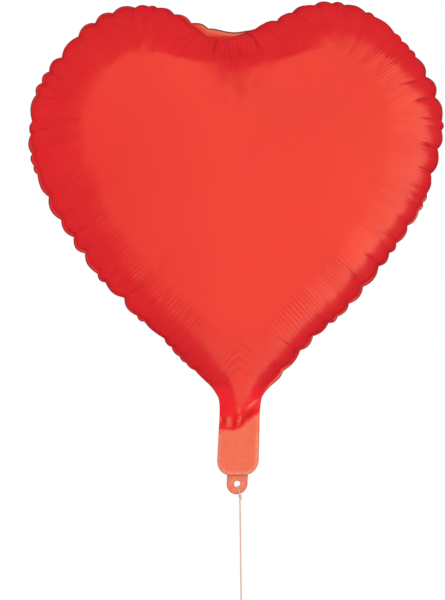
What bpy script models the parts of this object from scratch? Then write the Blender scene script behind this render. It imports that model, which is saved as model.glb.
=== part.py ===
"""Heart-shaped foil balloon on a string.

Two foil panels are welded together round their edges. Below the heart a flat filling tail holds a
self-sealing valve made of two plastic films, and ends in a mouth. The rear ply runs on past the
mouth as a tie tab, and a string is knotted through the hole in it.

Metres, +Z up. The front faces -Y. The origin is the centre of the gas space, on the weld's plane.
"""

import math

import bmesh
import bpy
import numpy as np
from mathutils import Matrix, Vector
from mathutils.geometry import delaunay_2d_cdt

# Sheet stock. Foil and film are thicker here than the real 0.04 mm, so that they are solids.
FOIL = 0.0006
FILM = 0.0004
CLEARANCE = 0.0003

# Heart. Half of the inflated outline, (x, z), from the cleft to the crease above the flat tail.
HALF_OUTLINE = (
    (0.0, 0.1220), (0.033, 0.1310), (0.062, 0.1475), (0.096, 0.1515), (0.135, 0.1370),
    (0.170, 0.1020), (0.191, 0.0620), (0.194, 0.0180), (0.177, -0.0330), (0.148, -0.0800),
    (0.111, -0.1270), (0.071, -0.1645), (0.043, -0.1930), (0.0255, -0.2115), (0.0190, -0.2240),
    (0.0190, -0.2420), (0.0195, -0.2610),
)
WELD_WIDTH = 0.005
HALF_DEPTH = 0.090
BODY_SPACING = 0.016
NECK_SPACING = 0.007

# Neck and tail. They hang aslant by TAIL_LEAN metres sideways for each metre down.
NECK_TOP_Z = -0.222
NECK_FLATTENS_Z = -0.247
CREASE_OPENING = 0.0025
TAIL_LEAN = 0.05
TAIL_CREASE_Z = -0.2622
TAIL_HALF_WIDTH = 0.0195
TAIL_CORNER = 0.0135
MOUTH_Z = -0.2914

# Valve films, which lie face to face on the weld's plane.
VALVE_HALF_WIDTH = 0.010
VALVE_TOP_Z = -0.176
INLET_HALF_WIDTH = 0.0125

# Tie tab: the rear ply's tongue.
TAB_CREASE_Z = -0.2917
TAB_HALF_WIDTH = 0.0098
TAB_TIP_HALF_WIDTH = 0.0080
TAB_TIP_Z = -0.3096
TAB_HOLE_Z = -0.2998
TAB_HOLE_RADIUS = 0.0030

# String.
STRING_RADIUS = 0.00065
KNOT_RADIUS = 0.0018
KNOT_AT = Vector((-0.0014, 0.00115, -0.3118))
END_KNOT_AT = Vector((-0.0016, 0.00115, -0.4270))
LOOP_LENGTH = 0.048
LOOP_HALF_WIDTH = 0.011

CIRCLE_STEPS = 24
FOLD_CLEARANCE = 0.0012

INLET_INNER_Y = CLEARANCE / 2
INLET_OUTER_Y = INLET_INNER_Y + FILM
PLY_INNER_Y = INLET_OUTER_Y + CLEARANCE
PLY_OUTER_Y = PLY_INNER_Y + FOIL
TAB_Y = (PLY_INNER_Y + PLY_OUTER_Y) / 2


def clear_scene():
    for item in list(bpy.data.objects):
        bpy.data.objects.remove(item, do_unlink=True)


def make_material(name, colour, roughness, metallic):
    material = bpy.data.materials.new(name)
    material.use_nodes = True
    shader = material.node_tree.nodes["Principled BSDF"]
    shader.inputs["Base Color"].default_value = (*colour, 1.0)
    shader.inputs["Roughness"].default_value = roughness
    shader.inputs["Metallic"].default_value = metallic
    return material


def add_pivot(name, at, parent=None):
    """An empty on a joint's axis. Pieces and further pivots hang from it."""
    pivot = bpy.data.objects.new(name, None)
    pivot["at"] = tuple(at)
    pivot.location = Vector(at) - Vector(parent["at"] if parent else (0, 0, 0))
    pivot.parent = parent
    bpy.context.scene.collection.objects.link(pivot)
    return pivot


def place(item, material, pivot):
    """Links a piece whose shape is already measured from its pivot."""
    item.data.materials.append(material)
    item.parent = pivot
    bpy.context.scene.collection.objects.link(item)
    return item


def add_mesh_piece(name, shape, material, pivot):
    """Turns a bmesh in world coordinates into a piece that hangs from the pivot."""
    bmesh.ops.recalc_face_normals(shape, faces=shape.faces)
    bmesh.ops.translate(shape, vec=-Vector(pivot["at"]), verts=shape.verts)
    mesh = bpy.data.meshes.new(name)
    shape.to_mesh(mesh)
    shape.free()
    return place(bpy.data.objects.new(name, mesh), material, pivot)


def smooth_line(points, steps):
    """A centripetal Catmull-Rom curve through the points. The first and last are end tangents."""
    guides = [np.array(point, float) for point in points]
    line = []
    for before, start, end, after in zip(guides, guides[1:], guides[2:], guides[3:]):
        chords = [math.sqrt(np.linalg.norm(b - a))
                  for a, b in ((before, start), (start, end), (end, after))]
        knots = np.cumsum([0.0] + chords)
        for t in np.linspace(knots[1], knots[2], steps, endpoint=False):
            level = [before, start, end, after]
            for pairs in (((0, 1), (1, 2), (2, 3)), ((0, 2), (1, 3)), ((1, 2),)):
                level = [((knots[j] - t) * a + (t - knots[i]) * b) / (knots[j] - knots[i])
                         for (i, j), a, b in zip(pairs, level, level[1:])]
            line.append(level[0])
    line.append(guides[-2])
    return np.array(line)


def along(line, spacing_at):
    """Points on a line, spaced by what spacing_at says for each place on it."""
    lengths = np.linalg.norm(np.diff(line, axis=0), axis=1)
    local = np.array([spacing_at(point) for point in line])
    counts = np.concatenate([[0.0], np.cumsum(lengths / ((local[1:] + local[:-1]) / 2))])
    steps = np.linspace(0, counts[-1], int(round(counts[-1])) + 1)
    return np.stack([np.interp(steps, counts, line[:, k]) for k in range(line.shape[1])], axis=1)


def spacing(point):
    return BODY_SPACING if point[1] > NECK_TOP_Z + BODY_SPACING else NECK_SPACING


def half_loop():
    """Right half of the heart's edge, from the cleft down to the crease."""
    last = HALF_OUTLINE[-1]
    lead_in = (-HALF_OUTLINE[1][0], HALF_OUTLINE[1][1])
    lead_out = (last[0], 2 * last[1] - HALF_OUTLINE[-2][1])
    return along(smooth_line([lead_in, *HALF_OUTLINE, lead_out], 12), spacing)


def inset_line(line, distance):
    """The half edge moved inwards by the weld's width, with its ends kept on their own levels."""
    tangent = np.gradient(line, axis=0)
    tangent /= np.linalg.norm(tangent, axis=1)[:, None]
    inner = line + distance * np.stack([tangent[:, 1], -tangent[:, 0]], axis=1)
    inner[0] = (0.0, line[0][1] - distance)
    inner[-1] = (line[-1][0] - distance, line[-1][1])
    return inner


def inside(points, loop):
    """Which points lie inside the closed loop."""
    found = np.zeros(len(points), bool)
    for (x1, z1), (x2, z2) in zip(loop, np.roll(loop, -1, axis=0)):
        if z1 == z2:
            continue
        crosses = (z1 > points[:, 1]) != (z2 > points[:, 1])
        found ^= crosses & (points[:, 0] < x1 + (x2 - x1) * (points[:, 1] - z1) / (z2 - z1))
    return found


def distance_to(points, loop):
    """How far each point is from the closed loop."""
    nearest = np.full(len(points), np.inf)
    for a, b in zip(loop, np.roll(loop, -1, axis=0)):
        share = np.clip(((points - a) @ (b - a)) / ((b - a) @ (b - a)), 0, 1)
        nearest = np.minimum(nearest, np.linalg.norm(points - a - share[:, None] * (b - a), axis=1))
    return nearest


def mirrored_loop(line):
    """Closes a half line, cleft first, with its mirror image."""
    return np.concatenate([line, line[:0:-1] * (-1, 1)])


def grid_points(loop, step, low, high):
    """Staggered rows of points well inside the loop, from one level to another."""
    rows = np.arange(low, high, step * math.sqrt(3) / 2)
    columns = np.arange(-0.2, 0.2, step)
    points = np.array([(x + (k % 2) * step / 2, z) for k, z in enumerate(rows) for x in columns])
    points = points[inside(points, loop)]
    return points[distance_to(points, loop) > 0.6 * step]


def panel_layout():
    """Flat mesh of a panel: points, triangles, and which points the gas can lift."""
    edge = half_loop()
    outer = mirrored_loop(edge)
    inner = mirrored_loop(inset_line(edge, WELD_WIDTH))
    split = NECK_TOP_Z + BODY_SPACING
    top = HALF_OUTLINE[3][1]
    bottom = HALF_OUTLINE[-1][1]
    right, left, count = len(edge) - 1, len(edge), len(outer)
    mouth_x = np.linspace(inner[left][0], inner[right][0], 5)[1:-1]
    mouth = np.stack([mouth_x, np.full(len(mouth_x), bottom)], axis=1)
    fill = np.concatenate([grid_points(inner, BODY_SPACING, split + BODY_SPACING / 2, top),
                           grid_points(inner, NECK_SPACING, bottom + NECK_SPACING, split)])
    points = np.concatenate([outer, inner, mouth, fill])
    sides = [(i, (i + 1) % count) for i in range(count) if i != right]
    edges = sides + [(i + count, j + count) for i, j in sides]
    chain = [left, left + count, 2 * count, 2 * count + 1, 2 * count + 2, right + count, right]
    edges += list(zip(chain, chain[1:]))
    found = delaunay_2d_cdt([Vector(p) for p in points], edges, [], 1, 1e-7)
    flat = np.array([tuple(p) for p in found[0]])
    triangles = np.array([tuple(t) for t in found[2]])
    free = np.arange(len(flat)) >= 2 * count
    return flat, triangles, free


def swelling(flat, triangles, free):
    """Height of a skin lifted by even pressure, 0 at its edge and 1 at its top.

    It is the square root of the membrane equation's solution, which rises as steeply at the weld
    as a foil balloon does.
    """
    size = len(flat)
    stiffness = np.zeros((size, size))
    load = np.zeros(size)
    for triangle in triangles:
        corners = flat[triangle]
        sides = np.roll(corners, -1, axis=0) - np.roll(corners, 1, axis=0)
        area = abs(sides[0][0] * sides[1][1] - sides[0][1] * sides[1][0]) / 2
        stiffness[np.ix_(triangle, triangle)] += sides @ sides.T / (4 * area)
        load[triangle] += area / 3
    lift = np.zeros(size)
    lift[free] = np.linalg.solve(stiffness[np.ix_(free, free)], load[free])
    return np.sqrt(np.maximum(lift, 0) / lift.max())


def lean(z):
    """Sideways place of the tail's centre line at a level."""
    return -TAIL_LEAN * max(0.0, NECK_TOP_Z - z)


def add_panel(name, side, layout, material, pivot):
    """One foil panel. side is -1 for the front and 1 for the rear."""
    flat, triangles, height = layout
    shape = bmesh.new()
    for (x, z), rise in zip(flat, height):
        shape.verts.new((x + lean(z), side * (CLEARANCE / 2 + rise), z))
    shape.verts.ensure_lookup_table()
    for triangle in triangles:
        face = shape.faces.new([shape.verts[i] for i in triangle])
        face.normal_update()
        if face.normal.y * side < 0:
            face.normal_flip()
    mesh = bpy.data.meshes.new(name)
    shape.to_mesh(mesh)
    shape.free()
    mesh.shade_smooth()
    panel = place(bpy.data.objects.new(name, mesh), material, pivot)
    skin = panel.modifiers.new("foil", "SOLIDIFY")
    skin.thickness = FOIL
    skin.offset = 1.0
    return panel


def add_panels(material, pivot):
    """Front and rear panels, swollen by the gas and pressed flat again towards the tail's crease."""
    flat, triangles, free = panel_layout()
    height = HALF_DEPTH * swelling(flat, triangles, free)
    pressed = (NECK_FLATTENS_Z - flat[:, 1]) / (NECK_FLATTENS_Z - HALF_OUTLINE[-1][1])
    low = np.minimum(height, CREASE_OPENING)
    height += (low - height) * np.clip(pressed, 0, 1)
    add_panel("front_panel", -1, (flat, triangles, height), material, pivot)
    add_panel("rear_panel", 1, (flat, triangles, height), material, pivot)


def add_plate(name, outline, low_y, high_y, material, pivot):
    """A flat sheet with the given (x, z) outline, between two depths."""
    shape = bmesh.new()
    face = shape.faces.new([shape.verts.new((x, low_y, z)) for x, z in outline])
    grown = bmesh.ops.extrude_face_region(shape, geom=[face])["geom"]
    corners = [part for part in grown if isinstance(part, bmesh.types.BMVert)]
    bmesh.ops.translate(shape, vec=(0, high_y - low_y, 0), verts=corners)
    return add_mesh_piece(name, shape, material, pivot)


def strip(half_width, top, bottom):
    """Outline of a narrow strip that follows the tail's lean."""
    corners = ((-1, bottom), (1, bottom), (1, top), (-1, top))
    return [(lean(z) + side * half_width, z) for side, z in corners]


def rounded_end(half_width, corner, top, bottom, steps=8):
    """Outline of a strip whose lower corners are rounded."""
    right = []
    for k in range(steps + 1):
        angle = math.radians(-90 + 90 * k / steps)
        right.append((half_width - corner + corner * math.cos(angle),
                      bottom + corner + corner * math.sin(angle)))
    right.append((half_width, top))
    whole = right + [(-x, z) for x, z in reversed(right)]
    return [(x + lean(z), z) for x, z in whole]


def tab_outline(steps=10):
    """Tongue: slightly tapered sides and a round tip."""
    centre_z = TAB_TIP_Z + TAB_TIP_HALF_WIDTH
    right = []
    for k in range(steps + 1):
        angle = math.radians(-90 + 90 * k / steps)
        right.append((TAB_TIP_HALF_WIDTH * math.cos(angle),
                      centre_z + TAB_TIP_HALF_WIDTH * math.sin(angle)))
    right.append((TAB_HALF_WIDTH, TAB_CREASE_Z - CLEARANCE))
    whole = right + [(-x, z) for x, z in reversed(right[1:])]
    return [(x + lean(z), z) for x, z in whole]


def add_tail(foil, film, pivot):
    """Flat tail: two foil plies with the valve's two inlet films between them."""
    top = TAIL_CREASE_Z - FOLD_CLEARANCE
    ply = rounded_end(TAIL_HALF_WIDTH, TAIL_CORNER, top, MOUTH_Z)
    inlet = strip(INLET_HALF_WIDTH, top, MOUTH_Z + TAIL_CORNER / 2)
    for name, side in (("front", -1), ("rear", 1)):
        depths = sorted((side * PLY_INNER_Y, side * PLY_OUTER_Y))
        add_plate("tail_" + name + "_ply", ply, *depths, foil, pivot)
        depths = sorted((side * INLET_INNER_Y, side * INLET_OUTER_Y))
        add_plate("inlet_" + name + "_film", inlet, *depths, film, pivot)


def add_tab(foil, pivot):
    """Tie tab with its punched hole."""
    tab = add_plate("tie_tab", tab_outline(), PLY_INNER_Y, PLY_OUTER_Y, foil, pivot)
    shape = bmesh.new()
    bmesh.ops.create_cone(shape, segments=CIRCLE_STEPS, radius1=TAB_HOLE_RADIUS,
                          radius2=TAB_HOLE_RADIUS, depth=4 * PLY_OUTER_Y, cap_ends=True)
    quarter_turn = Matrix.Rotation(math.pi / 2, 3, "X")
    bmesh.ops.rotate(shape, matrix=quarter_turn, verts=shape.verts)
    bmesh.ops.translate(shape, vec=(lean(TAB_HOLE_Z), TAB_Y, TAB_HOLE_Z), verts=shape.verts)
    punch = add_mesh_piece("hole_punch", shape, foil, pivot)
    punch.hide_render = True
    punch.display_type = "WIRE"
    hole = tab.modifiers.new("hole", "BOOLEAN")
    hole.object = punch
    hole.operation = "DIFFERENCE"
    hole.solver = "EXACT"
    return tab


def add_cord(name, route, material, pivot):
    """A round string along a smooth curve through the route's points."""
    lead_in = 2 * np.array(route[0]) - np.array(route[1])
    lead_out = 2 * np.array(route[-1]) - np.array(route[-2])
    line = smooth_line([lead_in, *route, lead_out], 8)
    line = along(line, lambda point: 5 * STRING_RADIUS) - np.array(pivot["at"])
    curve = bpy.data.curves.new(name, "CURVE")
    curve.dimensions = "3D"
    curve.bevel_depth = STRING_RADIUS
    curve.bevel_resolution = 2
    curve.use_fill_caps = True
    spline = curve.splines.new("POLY")
    spline.points.add(len(line) - 1)
    for point, spot in zip(spline.points, line):
        point.co = (*spot, 1.0)
    return place(bpy.data.objects.new(name, curve), material, pivot)


def add_knot(name, at, material, pivot):
    shape = bmesh.new()
    bmesh.ops.create_uvsphere(shape, u_segments=12, v_segments=8, radius=KNOT_RADIUS)
    bmesh.ops.translate(shape, vec=at, verts=shape.verts)
    knot = add_mesh_piece(name, shape, material, pivot)
    knot.data.shade_smooth()
    return knot


def tab_loop_route():
    """From the knot, up the tab's front, back through the hole and down behind to the knot."""
    front = PLY_INNER_Y - STRING_RADIUS - CLEARANCE
    back = PLY_OUTER_Y + STRING_RADIUS + CLEARANCE
    hole_x = lean(TAB_HOLE_Z) + TAB_HOLE_RADIUS / 3
    hole_z = TAB_HOLE_Z - TAB_HOLE_RADIUS + STRING_RADIUS + CLEARANCE
    x, y, z = KNOT_AT
    reach = 0.8 * (KNOT_RADIUS + CLEARANCE)
    low, middle = z + reach, z + 0.0042
    slack = 0.0004
    return [(x, y - reach, low), (x - slack, front - slack, middle),
            (hole_x, front - slack, hole_z - 0.0022), (hole_x, front, hole_z),
            (hole_x, TAB_Y, hole_z + slack),
            (hole_x, back, hole_z), (hole_x, back + slack, hole_z - 0.0022),
            (x - slack, back + slack, middle), (x, y + reach, low)]


def hand_loop_route():
    """Teardrop of string below the end knot, both ends on the knot."""
    x, y, z = END_KNOT_AT
    top = z - KNOT_RADIUS - CLEARANCE
    centre_z = top - LOOP_LENGTH + LOOP_HALF_WIDTH
    right = [(x + 0.0011, y, top), (x + 0.0030, y, top - 0.0060),
             (x + 0.75 * LOOP_HALF_WIDTH, y, (top + centre_z) / 2)]
    arc = []
    for k in range(7):
        angle = math.radians(-20 - 140 * k / 6)
        arc.append((x + LOOP_HALF_WIDTH * math.cos(angle), y,
                    centre_z + LOOP_HALF_WIDTH * math.sin(angle)))
    left = [(2 * x - px, py, pz) for px, py, pz in reversed(right)]
    return right + arc + left


def build():
    clear_scene()
    foil = make_material("red_foil", (0.78, 0.045, 0.030), 0.30, 1.0)
    tail_foil = make_material("flat_tail_foil", (0.84, 0.16, 0.10), 0.38, 0.6)
    film = make_material("valve_film", (0.86, 0.86, 0.84), 0.35, 0.0)
    thread = make_material("string_fibre", (0.66, 0.50, 0.45), 0.75, 0.0)

    crease_x = lean(TAIL_CREASE_Z)
    valve_root_z = TAIL_CREASE_Z + 2 * FOLD_CLEARANCE
    centre = add_pivot("gas_centre", (0, 0, 0))
    film_y = -(INLET_INNER_Y + FILM / 2)
    valve_pivot = add_pivot("valve_pivot", (crease_x, film_y, valve_root_z), centre)
    tail_pivot = add_pivot("tail_pivot", (crease_x, 0, TAIL_CREASE_Z), centre)
    tab_pivot = add_pivot("tab_pivot", (lean(TAB_CREASE_Z), TAB_Y, TAB_CREASE_Z), tail_pivot)
    knot_pivot = add_pivot("knot_pivot", KNOT_AT, tab_pivot)

    add_panels(foil, centre)
    valve = strip(VALVE_HALF_WIDTH, VALVE_TOP_Z, valve_root_z)
    add_plate("valve_rear_film", valve, INLET_INNER_Y, INLET_OUTER_Y, film, centre)
    add_plate("valve_front_film", valve, -INLET_OUTER_Y, -INLET_INNER_Y, film, valve_pivot)
    add_tail(tail_foil, film, tail_pivot)
    add_tab(tail_foil, tab_pivot)

    add_cord("string_loop", tab_loop_route(), thread, tab_pivot)
    add_knot("string_knot", KNOT_AT, thread, knot_pivot)
    reach = Vector((0, 0, KNOT_RADIUS + CLEARANCE))
    strand = [KNOT_AT - reach, KNOT_AT.lerp(END_KNOT_AT, 0.5), END_KNOT_AT + reach]
    add_cord("string", [tuple(point) for point in strand], thread, knot_pivot)
    add_knot("end_knot", END_KNOT_AT, thread, knot_pivot)
    add_cord("hand_loop", hand_loop_route(), thread, knot_pivot)


build()
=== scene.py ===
"""Looks of the heart-shaped foil balloon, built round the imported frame.

The two foils are cut flat, welded and filled by a cloth simulation. The filled shape is then laid
on a finer sheet, which is gathered into puckers along the weld, creased and folded.
Metres, +Z up, front towards -Y.
"""

import math

import bpy
import numpy as np
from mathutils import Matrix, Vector
from mathutils.bvhtree import BVHTree
from mathutils.geometry import barycentric_transform, delaunay_2d_cdt
from mathutils.kdtree import KDTree
from numpy.linalg import norm


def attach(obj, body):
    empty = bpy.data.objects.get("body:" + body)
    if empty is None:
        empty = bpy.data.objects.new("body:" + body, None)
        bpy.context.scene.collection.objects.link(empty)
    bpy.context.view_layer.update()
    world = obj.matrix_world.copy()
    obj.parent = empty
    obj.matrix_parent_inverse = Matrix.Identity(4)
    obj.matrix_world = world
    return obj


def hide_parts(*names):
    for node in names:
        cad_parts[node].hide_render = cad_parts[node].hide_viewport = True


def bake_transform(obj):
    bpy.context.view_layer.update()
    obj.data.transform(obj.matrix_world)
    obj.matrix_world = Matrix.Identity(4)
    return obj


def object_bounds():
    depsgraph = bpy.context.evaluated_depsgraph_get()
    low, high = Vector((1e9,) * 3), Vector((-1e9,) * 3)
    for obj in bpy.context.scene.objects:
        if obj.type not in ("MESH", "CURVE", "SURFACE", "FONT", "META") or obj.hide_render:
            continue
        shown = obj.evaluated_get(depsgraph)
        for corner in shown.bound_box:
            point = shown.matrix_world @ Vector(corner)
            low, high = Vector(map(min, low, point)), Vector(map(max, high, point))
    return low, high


# Camera, level, in front of the balloon.
CAMERA_X = -0.0152
CAMERA_Z = -0.1267
CAMERA_DISTANCE = 2.5
CAMERA_ROLL = math.radians(0.8)
VIEW_HEIGHT = 0.564
SENSOR = 36.0

FLOOR_RADIUS = 1.4
FLOOR_GAP = 0.12

# Light. The direction is the middle of the softbox that gloss sees. Each stop of a ramp is (place, level).
SOFTBOX_DIRECTION = (0.26, -1.0, -0.33)
SOFTBOX_EDGE = ((-1.0, 0.0), (0.00, 0.0), (0.15, 1.0), (1.0, 1.0))
SOFTBOX_SIDES = ((-1.0, 0.02), (-0.90, 0.12), (-0.50, 0.80), (-0.05, 1.0), (0.50, 0.97), (0.90, 1.6))
AMBIENT = 1.10

# Weld line of the filled heart and its tail, right half, (x, z), from the cleft down to the mouth.
FILLED_OUTLINE = (
    (0.0, 0.1220), (0.033, 0.1310), (0.062, 0.1475), (0.096, 0.1515), (0.135, 0.1370),
    (0.170, 0.1020), (0.191, 0.0620), (0.194, 0.0180), (0.177, -0.0330), (0.148, -0.0800),
    (0.111, -0.1270), (0.071, -0.1645), (0.043, -0.1930), (0.0255, -0.2115), (0.0190, -0.2240),
    (0.0190, -0.2420), (0.0195, -0.2610),
)
# The same line before the gas has drawn it in: larger, with a shallower cleft.
SLACK_OUTLINE = (
    (0.0, 0.1580), (0.024, 0.1590), (0.0515, 0.1640), (0.0945, 0.1700), (0.1435, 0.1515),
    (0.1815, 0.1110), (0.2030, 0.0655), (0.2030, 0.0162), (0.1866, -0.0370), (0.1565, -0.0870),
    (0.1170, -0.1355), (0.0775, -0.1720), (0.0476, -0.1980), (0.0280, -0.2130), (0.0200, -0.2244),
    (0.0190, -0.2420), (0.0195, -0.2620), (0.0195, -0.2914),
)
SLACK_DEPTH = 0.071
SLACK_NECK_DEPTH = 0.0085
SLACK_NECK_HALF_WIDTH = 0.0185
# Without its neck, the slack heart would end in this tip, below the last z.
HEART_TIP = ((0.019, -0.2175), (0.010, -0.2235), (0, -0.2255))
HEART_TIP_FROM = -0.2115
TAIL_HALF_WIDTH = 0.0195
TAIL_CORNER = 0.0135
MOUTH_Z = -0.2914
TAIL_CREASE_Z = -0.2622
NECK_TOP_Z = -0.222
TAIL_LEAN = 0.05
TAIL_SKIN_Y = 0.00135
TAB_HALF_WIDTH = 0.0098
TAB_TOP_Z = -0.2885
TAB_TIP_Z = -0.3096
HOLE_Z = -0.2998
HOLE_RADIUS = 0.0030

RED = (0.84, 0.0145, 0.0245)
# Painted highlight: the lighter sheen that flat film shows towards the front light.
SHEEN_SALMON = (0.885, 0.130, 0.084)
# Painted shade: the dark line along the outer edges, the mouth and the tab's outline.
EDGE_SHADE_RED = (0.20, 0.008, 0.012)
SHADED_RED = (0.42, 0.006, 0.012)
# The welded strips' own lighter tint, also used as painted sheen on the cleft's flange and the tab.
WELD_AND_SHEEN_SALMON = (0.95, 0.240, 0.160)

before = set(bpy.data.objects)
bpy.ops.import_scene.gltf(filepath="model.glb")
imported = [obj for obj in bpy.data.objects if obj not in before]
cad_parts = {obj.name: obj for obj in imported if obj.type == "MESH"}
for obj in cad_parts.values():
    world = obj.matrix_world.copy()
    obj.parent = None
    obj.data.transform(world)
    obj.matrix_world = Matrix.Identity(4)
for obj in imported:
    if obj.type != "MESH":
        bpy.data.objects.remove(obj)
cad_low, cad_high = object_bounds()


def ease(value, start, end):
    """0 at start, 1 at end, with a smooth turn at both."""
    share = np.clip((value - start) / (end - start), 0, 1)
    return share * share * (3 - 2 * share)


def columns(*values):
    return np.stack(values, axis=1)


def unit(vectors):
    """Each row, scaled to length 1."""
    return vectors / np.maximum(norm(vectors, axis=1), 1e-12)[:, None]


def smooth_line(points, steps):
    """A centripetal Catmull-Rom curve through the points. The first and last are end tangents."""
    guides = [np.array(point, float) for point in points]
    line = []
    for before, start, end, after in zip(guides, guides[1:], guides[2:], guides[3:]):
        chords = [math.sqrt(norm(b - a))
                  for a, b in ((before, start), (start, end), (end, after))]
        knots = np.cumsum([0.0] + chords)
        for t in np.linspace(knots[1], knots[2], steps, endpoint=False):
            level = [before, start, end, after]
            for pairs in (((0, 1), (1, 2), (2, 3)), ((0, 2), (1, 3)), ((1, 2),)):
                level = [((knots[j] - t) * a + (t - knots[i]) * b) / (knots[j] - knots[i])
                         for (i, j), a, b in zip(pairs, level, level[1:])]
            line.append(level[0])
    line.append(guides[-2])
    return np.array(line)


def evenly(line, spacing):
    """The line again, with points evenly spaced."""
    lengths = np.concatenate([[0.0], np.cumsum(norm(np.diff(line, axis=0), axis=1))])
    steps = np.linspace(0, lengths[-1], int(round(lengths[-1] / spacing)) + 1)
    return np.stack([np.interp(steps, lengths, line[:, k]) for k in range(line.shape[1])], axis=1)


def outline_curve(points):
    """A half outline as a smooth curve. It starts level at the cleft and runs straight down at the end."""
    (x1, z1), (x2, z2) = points[1], points[-1]
    return smooth_line([(-x1, z1), *points, (x2, z2 - 0.02)], 24)


def band(inner, outer, count):
    """Quads between two closed rings of points, given by the numbers of their first points."""
    return [(inner + i, inner + (i + 1) % count, outer + (i + 1) % count, outer + i) for i in range(count)]


def make_object(name, vertices, faces):
    mesh = bpy.data.meshes.new(name)
    mesh.from_pydata([tuple(map(float, v)) for v in vertices], [], [tuple(map(int, f)) for f in faces])
    mesh.update()
    mesh.shade_smooth()
    item = bpy.data.objects.new(name, mesh)
    bpy.context.scene.collection.objects.link(item)
    return item


def set_attribute(item, name, values):
    attribute = item.data.attributes.new(name, "FLOAT", "POINT")
    attribute.data.foreach_set("value", np.asarray(values, np.float32))


class Nodes:
    """Builds a node tree with short calls."""

    def __init__(self, tree):
        self.tree = tree

    def add(self, kind, inputs=None, **settings):
        """A shader node. Each input is a socket to link from, a colour or a number."""
        node = self.tree.nodes.new("ShaderNode" + kind)
        for key, value in settings.items():
            setattr(node, key, value)
        self.feed(node, inputs or {})
        return node

    def feed(self, node, inputs):
        for key, source in inputs.items():
            if isinstance(source, bpy.types.NodeSocket):
                self.tree.links.new(source, node.inputs[key])
            elif isinstance(source, tuple):
                node.inputs[key].default_value = (*source, 1)
            else:
                node.inputs[key].default_value = source


# ---- studio

def make_camera():
    data = bpy.data.cameras.new("camera")
    data.sensor_width = SENSOR
    data.sensor_fit = "AUTO"
    data.lens = CAMERA_DISTANCE / VIEW_HEIGHT * SENSOR
    camera = bpy.data.objects.new("camera", data)
    camera.location = (CAMERA_X, -CAMERA_DISTANCE, CAMERA_Z)
    camera.rotation_euler = (math.pi / 2, CAMERA_ROLL, 0)
    bpy.context.scene.collection.objects.link(camera)
    bpy.context.scene.camera = camera


def make_world():
    """White to look at. Gloss sees one wide softbox in front, a little to the right and low, which is
    weaker on its left. Everything else is lit evenly from all sides."""
    world = bpy.data.worlds.new("studio")
    bpy.context.scene.world = world
    world.use_nodes = True
    world.node_tree.nodes.clear()
    nodes = Nodes(world.node_tree)

    def background(colour):
        return nodes.add("Background", {"Color": colour}).outputs[0]

    def ramp(value, stops):
        """Grey levels over values from -1 to 1."""
        share = nodes.add("MapRange", {"From Min": -1, "Value": value}).outputs[0]
        node = nodes.add("ValToRGB", {"Fac": share})
        node.color_ramp.interpolation = "EASE"
        while len(node.color_ramp.elements) < len(stops):
            node.color_ramp.elements.new(0.5)
        for element, (place, level) in zip(node.color_ramp.elements, stops):
            element.position = (place + 1) / 2
            element.color = (level, level, level, 1)
        return node.outputs["Color"]

    where = nodes.add("TexCoord").outputs["Generated"]
    middle = Vector(SOFTBOX_DIRECTION).normalized()
    towards = nodes.add("VectorMath", {0: where, 1: middle}, operation="DOT_PRODUCT")
    sides = nodes.add("SeparateXYZ", {0: where})
    softbox = nodes.add("Mix", data_type="RGBA", blend_type="MULTIPLY")
    nodes.feed(softbox, {"Factor": 1, 6: ramp(towards.outputs["Value"], SOFTBOX_EDGE),
                         7: ramp(sides.outputs["X"], SOFTBOX_SIDES)})
    path = nodes.add("LightPath")
    light = nodes.add("MixShader", {0: path.outputs["Is Glossy Ray"], 1: background((AMBIENT,) * 3),
                                    2: background(softbox.outputs[2])})
    view = nodes.add("MixShader", {0: path.outputs["Is Camera Ray"], 1: light.outputs[0],
                                   2: background((1, 1, 1))})
    nodes.add("OutputWorld", {0: view.outputs[0]})


def add_softbox(name, place, size, power):
    """An area light that looks at the origin and doesn't show in gloss."""
    data = bpy.data.lights.new(name, "AREA")
    data.shape = "RECTANGLE"
    data.size, data.size_y = size
    data.energy = power
    light = bpy.data.objects.new(name, data)
    light.visible_glossy = False
    light.location = place
    light.rotation_euler = (-Vector(place)).to_track_quat("-Z", "Y").to_euler()
    bpy.context.scene.collection.objects.link(light)


def make_stage():
    """A round near-white floor, under the string and small enough to lie below the camera's view."""
    bpy.ops.mesh.primitive_circle_add(vertices=96, radius=FLOOR_RADIUS, fill_type="NGON",
                                      location=(0, 0, cad_low[2] - FLOOR_GAP))
    floor = bpy.context.object
    floor.name = "floor"
    floor.data.materials.append(Material("floor_white").finish(base_color=(0.92, 0.92, 0.91), roughness=0.9))
    floor.visible_glossy = False
    add_softbox("rear_softbox", (1.3, 2.2, 1.4), (1.0, 1.4), 14)
    add_softbox("side_softbox", (-2.0, 1.5, 0.3), (0.8, 1.4), 8)
    bpy.context.scene.view_settings.view_transform = "Standard"


# ---- materials

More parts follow.
